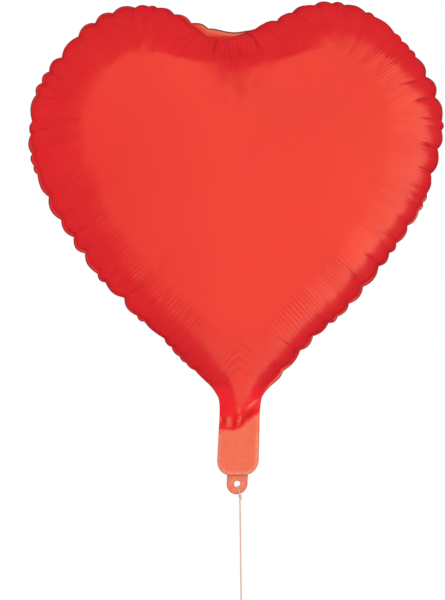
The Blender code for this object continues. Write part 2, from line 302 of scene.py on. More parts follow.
class Material(Nodes):
    """A new material's nodes."""

    def __init__(self, name):
        self.material = bpy.data.materials.new(name)
        self.material.use_nodes = True
        super().__init__(self.material.node_tree)
        self.where = self.add("TexCoord").outputs["Object"]

    def attribute(self, name):
        return self.add("Attribute", attribute_name=name).outputs["Fac"]

    def noise(self, scale, detail=2.0):
        node = self.add("TexNoise", {"Scale": scale, "Detail": detail, "Vector": self.where})
        return node.outputs["Fac"]

    def span(self, value, low, high, start=0.0, end=1.0):
        return self.add("MapRange", {"From Min": start, "From Max": end, "To Min": low, "To Max": high,
                                     "Value": value}).outputs[0]

    def blotches(self, scale, detail):
        return self.span(self.noise(scale, detail), 0, 1, 0.35, 0.65)

    def blend(self, share, first, second):
        node = self.add("Mix", data_type="RGBA")
        self.feed(node, {"Factor": share, 6: first, 7: second})
        return node.outputs[2]

    def darkened(self, share, colour, level):
        """A colour that turns darker with the share."""
        return self.blend(share, colour, tuple(c * level for c in colour))

    def bump(self, height, strength, distance, before=None):
        node = self.add("Bump", {"Strength": strength, "Distance": distance, "Height": height})
        if before:
            self.feed(node, {"Normal": before})
        return node.outputs[0]

    def finish(self, **values):
        shader = self.tree.nodes["Principled BSDF"]
        for key, value in values.items():
            self.feed(shader, {key.replace("_", " ").title().replace("Ior", "IOR"): value})
        return self.material


def foil_material(name, colour, painted_sheen):
    """Satin metallised film. A painted highlight, a lighter salmon sheen, lies where the film lies flat; the
    welded strips have their own lighter tint, which also adds painted sheen in the cleft and on the tab.
    Painted shade darkens creases, ripple dips and neck valleys, takes off the gloss there and on the neck's
    sides, and lines the outer edges dark."""
    nodes = Material(name)
    # turned is painted shade: it takes off gloss and metal on creases and on the neck's sides.
    turned = nodes.attribute("turned")
    tint = nodes.darkened(nodes.blotches(9, 1), colour, 0.95)
    mottle = nodes.blotches(260, 4)
    tint = nodes.blend(nodes.attribute("painted_sheen"), tint, nodes.darkened(mottle, painted_sheen, 0.92))
    # Weld tint: the tail's welded strips' own colour, and painted sheen on the cleft's flange and the tab.
    tint = nodes.blend(nodes.attribute("weld"), tint, nodes.darkened(mottle, WELD_AND_SHEEN_SALMON, 0.80))
    tint = nodes.blend(nodes.span(nodes.attribute("shade"), 0, 0.7), tint, SHADED_RED)
    # Painted shade: a dark line on the flange's outer rows, the tail's edge and the tab's outline and hole.
    tint = nodes.blend(nodes.attribute("edge_shade"), tint, EDGE_SHADE_RED)
    fine = nodes.bump(nodes.noise(700, 2), 0.06, 0.0002)
    return nodes.finish(base_color=tint, metallic=nodes.span(turned, 0.12, 0.0),
                        roughness=nodes.span(nodes.noise(60, 3), 0.20, 0.26, 0.3, 0.7),
                        normal=nodes.bump(nodes.noise(34, 2), 0.08, 0.003, fine),
                        specular_ior_level=nodes.span(turned, 1.0, 0.1), specular_tint=(0.55, 0.68, 0.25))


def film_material():
    nodes = Material("valve_film")
    tint = nodes.blend(nodes.noise(120, 2), (0.90, 0.90, 0.88), (0.80, 0.80, 0.79))
    return nodes.finish(base_color=tint, roughness=nodes.span(nodes.noise(200), 0.25, 0.40),
                        normal=nodes.bump(nodes.noise(150, 3), 0.2, 0.0004))


def fibre_material():
    nodes = Material("string_fibre")
    tint = nodes.blend(nodes.blotches(900, 3), (0.76, 0.47, 0.39), (0.60, 0.34, 0.28))
    return nodes.finish(base_color=tint, roughness=nodes.span(nodes.noise(500), 0.6, 0.85),
                        normal=nodes.bump(nodes.noise(2600, 2), 0.4, 0.0002))


# ---- string

STRING_RADIUS = 0.00070
STRING_SIDES = 18
TWIST_PITCH = 0.0052
KNOT_AT = Vector((-0.0014, 0.00115, -0.3118))
END_KNOT_AT = Vector((-0.0016, 0.00115, -0.4270))
KNOT_REACH = 0.0021
HAND_LOOP_HEIGHT = 0.048
HAND_LOOP_HALF_WIDTH = 0.011
KNOT_SIZE = 0.00038


def twisted(name, route, material):
    """Three-ply string along a route: one tube whose three-lobed section turns as it goes."""
    route = np.array(route)
    line = evenly(smooth_line([2 * route[0] - route[1], *route, 2 * route[-1] - route[-2]], 12),
                  STRING_RADIUS * 0.6)
    tangents = unit(np.gradient(line, axis=0))
    across = np.cross(tangents[0], (0.3, 0.9, 0.2))
    vertices, travelled = [], 0.0
    for k, (point, tangent) in enumerate(zip(line, tangents)):
        across = across - tangent * (across @ tangent)
        across /= norm(across)
        other = np.cross(tangent, across)
        if k:
            travelled += norm(point - line[k - 1])
        turn = 2 * math.pi * travelled / TWIST_PITCH
        for angle in np.arange(STRING_SIDES) * 2 * math.pi / STRING_SIDES:
            reach = STRING_RADIUS * (0.87 + 0.13 * abs(math.cos(1.5 * (angle - turn))))
            vertices.append(point + reach * (math.cos(angle) * across + math.sin(angle) * other))
    last = (len(line) - 1) * STRING_SIDES
    faces = [f for first in range(0, last, STRING_SIDES)
             for f in band(first, first + STRING_SIDES, STRING_SIDES)]
    faces.append(tuple(reversed(range(STRING_SIDES))))
    faces.append(tuple(range(last, last + STRING_SIDES)))
    item = make_object(name, vertices, faces)
    item.data.materials.append(material)
    return item, line


def overhand_knot(name, centre, tail_end, material):
    """The string's own turns pulled tight: a trefoil of string, with a short free end."""
    route = []
    for k in range(28):
        t = 2 * math.pi * k / 28 + 0.6
        route.append(tuple(centre + KNOT_SIZE * Vector((
            math.sin(t) + 2 * math.sin(2 * t), -1.2 * math.sin(3 * t), math.cos(t) - 2 * math.cos(2 * t)))))
    route.append(tuple(centre + Vector(tail_end)))
    return twisted(name, route, material)[0]


def tab_loop_route():
    """From the knot, up the tab's front, back through the hole and down behind to the knot."""
    return ((-0.0014, -0.00053, -0.31012), (-0.0018, -0.0005, -0.3076), (-0.00289, -0.0005, -0.30405),
            (-0.00289, -0.0001, -0.30185), (-0.00289, 0.00115, -0.30145), (-0.00289, 0.0024, -0.30185),
            (-0.00289, 0.0028, -0.30405), (-0.0018, 0.0028, -0.3076), (-0.0014, 0.00283, -0.31012))


def hand_loop_route():
    """Teardrop of string below the end knot, both ends on the knot."""
    x, y, z = END_KNOT_AT
    top, half = z - KNOT_REACH, HAND_LOOP_HALF_WIDTH
    centre_z = top - HAND_LOOP_HEIGHT + half
    right = [(x + 0.0011, y, top), (x + 0.0030, y, top - 0.0060), (x + 0.75 * half, y, (top + centre_z) / 2)]
    arc = []
    for k in range(7):
        angle = math.radians(-20 - 140 * k / 6)
        arc.append((x + half * math.cos(angle), y, centre_z + half * math.sin(angle)))
    return right + arc + [(2 * x - px, py, pz) for px, py, pz in reversed(right)]


def make_string(fibre):
    top = KNOT_AT - Vector((0, 0, KNOT_REACH))
    bottom = END_KNOT_AT + Vector((0, 0, KNOT_REACH))
    tab_loop, _ = twisted("tab_loop_fibre", tab_loop_route(), fibre)
    knot = overhand_knot("string_knot_fibre", KNOT_AT, (0.0011, -0.0004, -0.0030), fibre)
    strand, line = twisted("string_fibre", [tuple(top.lerp(bottom, k / 15)) for k in range(16)], fibre)
    end_knot = overhand_knot("end_knot_fibre", END_KNOT_AT, (-0.0012, 0.0003, -0.0034), fibre)
    loop, loop_line = twisted("hand_loop_fibre", hand_loop_route(), fibre)
    for item, node, body in ((tab_loop, "string_loop", "tab"), (knot, "string_knot", "knot"),
                             (strand, "string", "strand"), (end_knot, "end_knot", "strand"),
                             (loop, "hand_loop", "strand")):
        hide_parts(node)
        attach(item, body)


# ---- cut and filling

SIMULATION_EDGE = 0.005
FILLING_FRAMES = 25
FOIL_CLOTH = {
    "quality": 8, "mass": 0.3, "air_damping": 10, "bending_stiffness": 0.1, "bending_damping": 0.5,
    "tension_stiffness": 80, "compression_stiffness": 80, "shear_stiffness": 40,
    "tension_damping": 10, "compression_damping": 10, "shear_damping": 10,
    "use_pressure": True, "uniform_pressure_force": 4,
}
FOIL_GAP = 0.0004
LEAST_HEIGHT = 0.0003
CLOTH_SCALE = 10.0
ANGLES = 721
RAY_STEPS = 500


def ray_table(line):
    """The distance from the origin to a right-hand outline, for each angle from +Z down to -Z."""
    angles = np.arctan2(line[:, 0], line[:, 1])
    return np.interp(np.linspace(0, math.pi, ANGLES), angles, np.hypot(line[:, 0], line[:, 1]))


def slack_height(reach, angle, heart_reach):
    """Half-thickness of the slack balloon at a place given in polar form."""
    body = SLACK_DEPTH * np.sqrt(np.maximum(1 - np.clip(reach / heart_reach, 0, 1) ** 2.2, 0))
    x, z = reach * np.sin(angle), reach * np.cos(angle)
    round_neck = SLACK_NECK_DEPTH * np.sqrt(np.maximum(1 - (x / SLACK_NECK_HALF_WIDTH) ** 2, 0))
    return np.maximum(body, round_neck * np.clip((z + 0.262) / 0.010, 0, 1) * (z < -0.19))


class Pattern:
    """The flat cut of one foil, found by unrolling the slack shape along rays from its centre."""

    def __init__(self, spacing):
        half = outline_curve(SLACK_OUTLINE)
        heart = np.concatenate([half[half[:, 1] > HEART_TIP_FROM], HEART_TIP])
        self.theta = np.linspace(0, math.pi, ANGLES)
        last = math.atan2(*SLACK_OUTLINE[-1])
        rim = np.where(self.theta <= last, ray_table(half), MOUTH_Z / np.cos(np.maximum(self.theta, last)))
        self.heart_reach = ray_table(heart)
        share = 1 - (1 - np.linspace(0, 1, RAY_STEPS)) ** 2
        self.reach = rim[:, None] * share[None, :]
        height = slack_height(self.reach, self.theta[:, None], self.heart_reach[:, None])
        height[self.heart_reach >= rim - 1e-4, -1] = 0
        steps = np.hypot(np.diff(self.reach, axis=1), np.diff(height, axis=1))
        self.flat_reach = np.concatenate([np.zeros((ANGLES, 1)), np.cumsum(steps, axis=1)], axis=1)
        edge = self.flat_reach[:, -1]
        flat = columns(edge * np.sin(self.theta), edge * np.cos(self.theta))[self.theta <= last]
        self.half = evenly(flat, spacing)
        self.half[0, 0] = 0

    def closed(self, half):
        """The whole outline, clockwise from the cleft, with a straight mouth between the halves."""
        spacing = norm(half[1] - half[0])
        count = max(2, int(round(2 * half[-1, 0] / spacing)))
        mouth_x = np.linspace(half[-1, 0], -half[-1, 0], count + 1)[1:-1]
        mouth = columns(mouth_x, np.full(count - 1, half[-1, 1]))
        return np.concatenate([half, mouth, half[1:][::-1] * [-1, 1]])

    def slack_place(self, flat):
        """Where flat points lie on the slack shape: (x, z) and the half-thickness."""
        angle, flat_reach = np.arctan2(np.abs(flat[:, 0]), flat[:, 1]), np.hypot(flat[:, 0], flat[:, 1])
        place = angle / math.pi * (ANGLES - 1)
        low = np.clip(place.astype(int), 0, ANGLES - 2)
        share = place - low
        reach = np.zeros(len(flat))
        for rows, weight in ((low, 1 - share), (low + 1, share)):
            reach += weight * np.array([np.interp(r, self.flat_reach[i], self.reach[i])
                                        for i, r in zip(rows, flat_reach)])
        height = slack_height(reach, angle, np.interp(angle, self.theta, self.heart_reach))
        xz = columns(reach * np.sin(angle) * np.sign(flat[:, 0] + 1e-12), reach * np.cos(angle))
        return xz, height


def tree_of(points):
    tree = KDTree(len(points))
    for k, (x, z) in enumerate(points):
        tree.insert((x, z, 0), k)
    tree.balance()
    return tree


def nearest_on(line, points):
    """For each point, the index of the nearest point of a dense line, and the distance."""
    tree = tree_of(line)
    found = [tree.find((x, z, 0)) for x, z in points]
    return np.array([f[1] for f in found]), np.array([f[2] for f in found])


def from_edge(loop, spacing, points):
    """Each point's distance from a closed outline."""
    return nearest_on(evenly(np.concatenate([loop, loop[:1]]), spacing), points)[1]


def inside(points, loop):
    x, z = points.T
    result = np.zeros(len(points), bool)
    for (x1, z1), (x2, z2) in zip(loop, np.roll(loop, -1, axis=0)):
        if z1 == z2:
            continue
        crosses = (z1 > z) != (z2 > z)
        result ^= crosses & (x < (x2 - x1) * (z - z1) / (z2 - z1) + x1)
    return result


def hexagonal(loop, spacing, jitter, rng):
    """Points of a slightly shaken triangular grid inside an outline."""
    low, high = loop.min(axis=0), loop.max(axis=0)
    x, z = np.meshgrid(np.arange(low[0], high[0], spacing),
                       np.arange(low[1], high[1], spacing * math.sqrt(3) / 2))
    x = x + (np.arange(x.shape[0]) % 2)[:, None] * spacing / 2
    grid = columns(x.ravel(), z.ravel())
    grid = grid + rng.uniform(-jitter, jitter, grid.shape) * spacing
    return grid[inside(grid, loop)]


def signed_areas(flat, faces):
    a, b, c = flat[faces].transpose(1, 0, 2)
    return ((b - a)[:, 0] * (c - a)[:, 1] - (b - a)[:, 1] * (c - a)[:, 0]) / 2


def triangles(points, loops):
    """Triangles between points, inside closed loops of them. Each loop lists point numbers."""
    edges = [(a, b) for loop in loops for a, b in zip(loop, np.roll(loop, -1))]
    corners, _, faces, _, _, _ = delaunay_2d_cdt([Vector(p) for p in points], edges, [], 1, 1e-7)
    corners, faces = np.array([tuple(c) for c in corners]), np.array([list(f) for f in faces])
    turned = signed_areas(corners, faces) < 0
    faces[turned] = faces[turned][:, ::-1]
    return corners, faces


def filled_foils():
    """Simulates the filling. Returns the pattern, its flat mesh and where the foils end up."""
    rng = np.random.default_rng(3)
    pattern = Pattern(SIMULATION_EDGE)
    loop = pattern.closed(pattern.half)
    grid = hexagonal(loop, SIMULATION_EDGE, 0.12, rng)
    grid = grid[from_edge(loop, 0.001, grid) > 0.55 * SIMULATION_EDGE]
    flat, faces = triangles(np.concatenate([loop, grid]), [np.arange(len(loop))])
    count, on_rim = len(flat), np.arange(len(flat)) < len(loop)
    xz, height = pattern.slack_place(flat)
    height = np.where(on_rim, 0, np.maximum(height, LEAST_HEIGHT))
    inner = np.where(~on_rim)[0]
    rear = np.arange(count)
    rear[inner] = count + np.arange(len(inner))
    slack, cut = (np.concatenate([np.insert(at, 1, front_y, axis=1), np.insert(at, 1, rear_y, axis=1)[inner]])
                  for at, front_y, rear_y in ((xz, -height, height), (flat, 0, FOIL_GAP)))
    item = make_object("filling", slack * CLOTH_SCALE, np.concatenate([faces, rear[faces][:, ::-1]]))
    item.shape_key_add(name="slack")
    key = item.shape_key_add(name="cut")
    key.data.foreach_set("co", (cut * CLOTH_SCALE).astype(np.float32).ravel())
    pin = item.vertex_groups.new(name="pin")
    pin.add([int(k) for k in np.where(slack[:, 2] < TAIL_CREASE_Z - 0.0003)[0]], 1.0, "REPLACE")
    cloth = item.modifiers.new("filling", "CLOTH")
    cloth.settings.rest_shape_key = key
    cloth.settings.vertex_group_mass = "pin"
    cloth.settings.effector_weights.gravity = 0
    for setting, value in FOIL_CLOTH.items():
        setattr(cloth.settings, setting, value)
    cloth.collision_settings.use_collision = False
    cloth.collision_settings.use_self_collision = False
    cloth.point_cache.frame_start, cloth.point_cache.frame_end = 1, FILLING_FRAMES + 1
    for number in range(1, FILLING_FRAMES + 1):
        bpy.context.scene.frame_set(number)
    shaped = item.evaluated_get(bpy.context.evaluated_depsgraph_get()).data
    places = np.zeros(len(shaped.vertices) * 3)
    shaped.vertices.foreach_get("co", places)
    places = places.reshape(-1, 3) / CLOTH_SCALE
    bpy.data.objects.remove(item, do_unlink=True)
    bpy.context.scene.frame_set(1)
    return pattern, flat, faces, places[:count], places[rear]


def smoothed(places, faces, times, held):
    """Each point moves half-way to its neighbours' mean, times over. Held points stay."""
    pairs = np.concatenate([faces[:, [0, 1]], faces[:, [1, 2]], faces[:, [2, 0]]])
    pairs = np.unique(np.sort(pairs, axis=1), axis=0)
    counts = np.bincount(pairs.ravel(), minlength=len(places)).astype(float)
    for _ in range(times):
        total = np.zeros_like(places)
        for k in range(3):
            total[:, k] = (np.bincount(pairs[:, 0], places[pairs[:, 1], k], len(places))
                           + np.bincount(pairs[:, 1], places[pairs[:, 0], k], len(places)))
        mean = total / np.maximum(counts, 1)[:, None]
        places = np.where(held[:, None], places, (places + mean) / 2)
    return places


def blended(places, others, share):
    """Part of the way from places to others, by each point's share."""
    return places * (1 - share[:, None]) + others * share[:, None]


def smoothed_loop(places, times):
    for _ in range(times):
        places = (np.roll(places, 1, axis=0) + 2 * places + np.roll(places, -1, axis=0)) / 4
    return places


def normals_of(places, faces):
    a, b, c = places[faces].transpose(1, 0, 2)
    face_normals = np.cross(b - a, c - a)
    total = np.zeros_like(places)
    for k in range(3):
        np.add.at(total, faces[:, k], face_normals)
    return unit(total)


# ---- skins

# The fine sheet: the step along its rim, and the rings of points that follow the rim at these depths
# from it. The coarse rings have a point for every so many rim points.
RIM_STEP = 0.0008
RING_DEPTHS = (0.0008, 0.0017, 0.0028, 0.0040, 0.0055, 0.0070, 0.0090, 0.0110, 0.0130, 0.0155, 0.0180,
               0.0205, 0.0230, 0.0260, 0.0290, 0.0325, 0.0360, 0.0400, 0.0440, 0.0480, 0.0525, 0.0570,
               0.0620, 0.0670, 0.0720, 0.0775, 0.0830, 0.0885)
COARSE_RINGS = ((0.0940, 2), (0.1000, 4), (0.1070, 8))
FACE_SPACING = 0.007
# Depths from the weld over which the wall is evened out less and less.
EVENED = (0.030, 0.052)
CLEFT_SLACK = 0.27
# Rows of the flange, by their distance from the weld.
FLANGE_ROWS = (0.0012, 0.0024, 0.0031, 0.0041)
WELD_INSET = 0.0012


def rounded_tail(half):
    """The half outline with the tail's corner rounded off."""
    corner_z = half[-1, 1] + TAIL_CORNER
    side_x = half[-1, 0]
    straight = half[half[:, 1] > corner_z]
    turns = np.linspace(0, math.pi / 2, 24)
    arc = columns(side_x - TAIL_CORNER * (1 - np.cos(turns)), corner_z - TAIL_CORNER * np.sin(turns))
    return np.concatenate([straight, arc])


class Sheet:
    """The fine flat mesh that both foils are cut from, and each point's place along the weld."""

    def __init__(self, pattern):
        self.drop = MOUTH_Z - pattern.half[-1, 1]
        half = evenly(rounded_tail(evenly(pattern.half, RIM_STEP)), RIM_STEP)
        loop = pattern.closed(half)
        self.loop = loop
        self.rim_count = len(loop)
        tangent = unit(np.roll(loop, -1, axis=0) - np.roll(loop, 1, axis=0))
        inward = columns(tangent[:, 1], -tangent[:, 0])
        steps = norm(np.roll(loop, -1, axis=0) - loop, axis=1)
        length = steps.sum()
        along = np.concatenate([[0], np.cumsum(steps)[:-1]])
        self.rim_along = np.where(along > length / 2, along - length, along)

        on_side = np.where(loop[:len(half), 1] > TAIL_CREASE_Z - self.drop)[0][-1]
        side_x, self.crease_z = loop[on_side]
        crease_x = np.linspace(side_x, -side_x, int(2 * side_x / 0.001))[1:-1]
        crease = columns(crease_x, np.full(len(crease_x), self.crease_z))
        kept = [(crease, np.full(len(crease), -1), np.zeros(len(crease), int))]
        for number, (depth, every) in enumerate([(d, 1) for d in RING_DEPTHS] + list(COARSE_RINGS)):
            place = np.arange(self.rim_count)[::every]
            ring = (loop + depth * inward)[place]
            good = inside(ring, loop) & (np.abs(ring[:, 1] - self.crease_z) > 0.0005)
            good[good] = nearest_on(loop, ring[good])[1] > depth - 0.0003
            kept.append((ring[good], np.full(good.sum(), number if every == 1 else -1), place[good]))
        grid = hexagonal(loop, FACE_SPACING, 0.1, np.random.default_rng(5))
        grid = grid[nearest_on(loop, grid)[1] > COARSE_RINGS[-1][0] + 0.005]
        kept.append((grid, np.full(len(grid), -1), np.zeros(len(grid), int)))
        points, rings, places = (np.concatenate(part) for part in zip(*kept))
        good = far_apart(points, 0.0004)
        self.flat, self.faces = triangles(np.concatenate([loop, points[good]]), [np.arange(len(loop))])
        self.ring = np.concatenate([np.full(self.rim_count, -1), rings[good]])
        self.ring_place = np.concatenate([np.arange(self.rim_count), places[good]])
        self.nearest, self.depth = nearest_on(loop, self.flat)
        self.along = self.rim_along[self.nearest]
        self.nominal_z = self.flat[:, 1] + self.drop
        self.tail_faces = self.flat[self.faces].mean(axis=1)[:, 1] < self.crease_z


def far_apart(points, gap):
    """Which points to keep, so that none lies closer than gap to an earlier one."""
    tree = tree_of(points)
    good = np.ones(len(points), bool)
    for k, (x, z) in enumerate(points):
        if good[k]:
            for _, other, _ in tree.find_range((x, z, 0), gap):
                if other > k:
                    good[other] = False
    return good


def along_rim(values, weights, reach):
    """Weighted means of values along the closed rim, over a Gaussian of this reach in points."""
    count = len(values)
    offset = np.minimum(np.arange(count), count - np.arange(count))
    kernel = np.fft.rfft(np.exp(-0.5 * (offset / reach) ** 2))
    total = np.fft.irfft(np.fft.rfft(values * weights[:, None], axis=0) * kernel[:, None], count, axis=0)
    weight = np.fft.irfft(np.fft.rfft(weights) * kernel, count)
    return total / np.maximum(weight, 1e-3)[:, None]


def evened(sheet, places, outward, reach):
    """The side wall without the puckers that the coarse simulation made, which are remade finer.
    Each ring's offset from the rim is averaged along the rim, in the rim's own directions."""
    rim = places[:sheet.rim_count]
    upright = np.tile((0.0, 1.0, 0.0), (sheet.rim_count, 1))
    ways = (outward, upright, np.cross(outward, upright))
    result = places.copy()
    for ring in range(len(RING_DEPTHS)):
        mine = np.where(sheet.ring == ring)[0]
        place = sheet.ring_place[mine]
        offset = places[mine] - rim[place]
        local = np.zeros((sheet.rim_count, 3))
        local[place] = np.stack([(offset * way[place]).sum(axis=1) for way in ways], axis=1)
        weights = np.zeros(sheet.rim_count)
        weights[place] = 1
        local = along_rim(local, weights, reach / RIM_STEP)[place]
        even = rim[place] + sum(local[:, k:k + 1] * way[place] for k, way in enumerate(ways))
        result[mine] = blended(places[mine], even, 1 - ease(sheet.depth[mine], *EVENED))
    return result


def carried(flat, faces, places, points):
    """Where flat points come to lie, on the triangles that a coarser mesh of the same cut became."""
    tree = BVHTree.FromPolygons([(x, z, 0) for x, z in flat], [tuple(map(int, f)) for f in faces])
    corners = [[Vector((*flat[k], 0)) for k in f] for f in faces]
    shaped = [[Vector(places[k]) for k in f] for f in faces]
    found = []
    for x, z in points:
        place, _, index, _ = tree.find_nearest((x, z, 0))
        found.append(tuple(barycentric_transform(place, *corners[index], *shaped[index])))
    return np.array(found)


def fitted(places, rim):
    """The filled shape, drawn onto the frame's outline."""
    target = outline_curve(FILLED_OUTLINE)
    target_reach = np.hypot(target[:, 0], target[:, 1]) - WELD_INSET
    target_angle = np.arctan2(target[:, 0], target[:, 1])
    rim_angle, rim_reach = np.arctan2(np.abs(rim[:, 0]), rim[:, 2]), np.hypot(rim[:, 0], rim[:, 2])
    order = np.argsort(rim_angle)
    angle = np.arctan2(np.abs(places[:, 0]), places[:, 2])
    ratio = (np.interp(angle, target_angle, target_reach)
             / np.interp(angle, rim_angle[order], rim_reach[order]))
    grow = 1 + (ratio - 1) * ease(places[:, 2], -0.215, -0.185)
    return places * columns(grow, np.ones(len(places)), grow)


def settled(sheet, flat, faces, filled, rim):
    """The filled shape on the fine sheet, drawn onto the frame and smoothed, most of all at the tip, where
    it runs into the neck, and in the middle of the face. The wall under the cleft is slack."""
    held = np.arange(len(flat)) < len(rim)
    filled = np.concatenate([rim, filled[len(rim):]])
    places = carried(flat, faces, smoothed(filled, faces, 3, held), sheet.flat)
    depth, on_rim = sheet.depth, slice(sheet.rim_count)
    places[on_rim] = smoothed_loop(places[on_rim], 60)
    places = fitted(places, places[on_rim])
    places = smoothed(places, sheet.faces, 30, depth < 0.026)
    places = evened(sheet, places, outwards(places[on_rim]), 0.012)
    places = smoothed(places, sheet.faces, 16, depth < 0.012)
    tip = ease(-places[:, 2], 0.140, 0.190)
    places = blended(places, smoothed(places, sheet.faces, 60, depth < 0.002), tip)
    near_cleft = np.exp(-(places[:, 0] / 0.055) ** 2) * ease(places[:, 2], -0.020, 0.050)
    middle = (ease(depth + 0.020 * near_cleft, 0.050, 0.090)
              * ease(places[:, 2], -0.18, -0.12))
    places = blended(places, smoothed(places, sheet.faces, 45, depth < 0.040), middle)
    places[:, 1] *= (-cad_low[1] - 0.001) / np.abs(places[:, 1]).max()
    low_wall = ease(depth, 0.006, 0.050) * (1 - ease(depth, 0.050, 0.150))
    places[:, 1] *= 1 - CLEFT_SLACK * near_cleft * low_wall
    return places


# ---- gathers, creases and folds

# The weld is smooth this far from the cleft's middle. Beyond it come long and short gathers.
SMOOTH_CLEFT = 0.026
LONG_PUCKER = (0.019, 0.030)
SHORT_PUCKER = (0.009, 0.015)
LONG_SHARE = 0.62
PUCKER_DEPTH = 0.0050
PUCKER_FADE = 0.024
RIPPLE_PITCH = 0.0042
RIPPLE_HEIGHT = 0.00008
WELD_WAVE = 0.0014
RIGHT_SEED = 11
LEFT_SEED = 12
CREASE_START = (0.026, 0.036)
CREASE_LENGTH = (0.012, 0.034)
CREASE_SHARE = 0.65

# Single creases in the cleft: (distance along the weld from its middle, + to the right, start and end
# distance from the weld, slant, half-width, depth). The others run in from the cusps of the gathers.
CLEFT_CREASES = (
    (0.012, 0.003, 0.086, 0.18, 0.0012, 0.0009), (-0.012, 0.003, 0.084, -0.12, 0.0012, 0.0009),
    (-0.030, 0.020, 0.078, -0.30, 0.0011, 0.0005), (-0.036, 0.026, 0.074, -0.32, 0.0009, 0.0005),
    (0.033, 0.030, 0.072, 0.25, 0.0010, 0.0005), (0.004, 0.050, 0.080, 0.05, 0.0009, 0.0004),
)

# Crumples where the round neck goes flat: (x, z) to (x, z), half-width and height outwards. Ridges get
# painted sheen and valleys painted shade. A wedge of the heart's face reaches down between them: (depth
# below the origin, half-width); beside it the gloss is taken off as painted shade. Lower than the last
# line, (x, depth), the film lies flat and gets painted sheen.
NECK_FOLDS = (
    (-0.0042, -0.2347, -0.0050, -0.2491, 0.0010, -0.0014),
    (-0.0023, -0.2269, 0.0001, -0.2336, 0.0008, 0.0009),
    (0.0013, -0.2352, -0.0013, -0.2447, 0.0010, 0.0011),
    (0.0176, -0.2203, 0.0049, -0.2291, 0.0011, 0.0009),
    (0.0163, -0.2347, 0.0016, -0.2469, 0.0010, 0.0009),
    (0.0149, -0.2291, 0.0035, -0.2391, 0.0022, -0.0012),
    (0.0041, -0.2369, 0.0020, -0.2452, 0.0013, -0.0013),
    (-0.0102, -0.2358, -0.0101, -0.2469, 0.0022, 0.0010),
    (-0.0147, -0.2369, -0.0131, -0.2447, 0.0017, -0.0013),
    (-0.0182, -0.2358, -0.0175, -0.2425, 0.0009, 0.0007),
)
WEDGE = ((0.2050, 0.0120), (0.2090, 0.0090), (0.2200, 0.0044), (0.2290, 0.0010), (0.2330, -0.0040))
FLAT_BELOW = ((-0.0195, 0.2478), (-0.0050, 0.2495), (0.0016, 0.2469), (0.0163, 0.2347), (0.0195, 0.2325))

# The valve's flap inside the neck, and the room it takes from the weld's plane when it opens.
FLAP_ROOT_Z = -0.2598
FLAP_HALF_WIDTH = 0.010
FLAP_ROOM = 0.0009
FLAP_OPENING = math.tan(math.radians(5.3))


def wave(along, length, seed):
    """A smooth random line between -1 and 1 that changes over about this length."""
    rng = np.random.default_rng(seed)
    place = (along + 2.0) / length
    levels = rng.uniform(-1, 1, int(4.0 / length) + 3)
    low = place.astype(int)
    share = ease(place - low, 0, 1)
    return levels[low] * (1 - share) + levels[low + 1] * share


def gather_cusps(seed):
    """The cusps of the gathers on one side of the cleft: their places along the weld and their depths."""
    rng = np.random.default_rng(seed)
    cusps = [SMOOTH_CLEFT]
    while cusps[-1] < 0.8:
        bounds = LONG_PUCKER if rng.random() < LONG_SHARE else SHORT_PUCKER
        cusps.append(cusps[-1] + rng.uniform(*bounds))
    cusps = np.array(cusps)
    gaps = np.diff(cusps)
    shorter = np.minimum(np.append(gaps[0], gaps), np.append(gaps, gaps[-1]))
    depths = PUCKER_DEPTH * np.clip(shorter / 0.027, 0.25, 1.1) * rng.uniform(0.7, 1.15, len(cusps))
    depths[0] *= 0.4
    return cusps, depths


def pucker_line(along, seed):
    """How far the gathers draw the weld in: arcs between cusps, 0 on top of each arc."""
    cusps, depths = gather_cusps(seed)
    gaps = np.diff(cusps)
    place = np.clip(np.searchsorted(cusps, along, side="right") - 1, 0, len(gaps) - 1)
    share = (along - cusps[place]) / gaps[place]
    drawn = (depths[place] * np.maximum(0, 1 - 2 * share) ** 2
             + depths[place + 1] * np.maximum(0, 2 * share - 1) ** 2)
    lead = depths[0] * np.maximum(0, along / SMOOTH_CLEFT) ** 6
    return np.where(along < SMOOTH_CLEFT, lead, drawn)


def drawn_in(along):
    return np.where(along >= 0, pucker_line(np.abs(along), RIGHT_SEED), pucker_line(np.abs(along), LEFT_SEED))


def creases_of(front):
    """All single creases of one foil. Most cusps have one, which starts beyond the side wall."""
    rng = np.random.default_rng(60 + front)
    creases = [(along * -front, start, end, slant * -front, half_width, depth)
               for along, start, end, slant, half_width, depth in CLEFT_CREASES]
    for seed, side in ((RIGHT_SEED, 1), (LEFT_SEED, -1)):
        for along, depth in zip(*gather_cusps(seed)):
            start, length = rng.uniform(*CREASE_START), rng.uniform(*CREASE_LENGTH)
            if along > 0.06 and rng.random() < CREASE_SHARE:
                creases.append((along * side, start, start + length, rng.uniform(-0.10, 0.10),
                                rng.uniform(0.0009, 0.0013), 0.13 * depth))
    return creases


def valley(points, start, end, half_width):
    """1 on a short line, falling to 0 on both sides and towards its ends."""
    start, end = np.array(start), np.array(end)
    run = end - start
    share = ((points - start) @ run) / (run @ run)
    off = norm(points - start - np.clip(share, 0, 1)[:, None] * run, axis=1)
    return np.exp(-(off / half_width) ** 2) * ease(share, -0.15, 0.3) * (1 - ease(share, 0.6, 1.1))


def crease_depth(sheet, creases):
    """Depth of the single creases at each point of a sheet."""
    total = np.zeros(len(sheet.flat))
    for along, start, end, slant, half_width, depth in creases:
        k = int(np.argmin(np.abs(sheet.rim_along - along)))
        tangent = sheet.loop[(k + 3) % len(sheet.loop)] - sheet.loop[k - 3]
        tangent /= norm(tangent)
        inward = np.array([tangent[1], -tangent[0]])
        line = inward + slant * tangent
        total += depth * valley(sheet.flat, sheet.loop[k] + start * inward, sheet.loop[k] + end * line,
                                half_width)
    return total


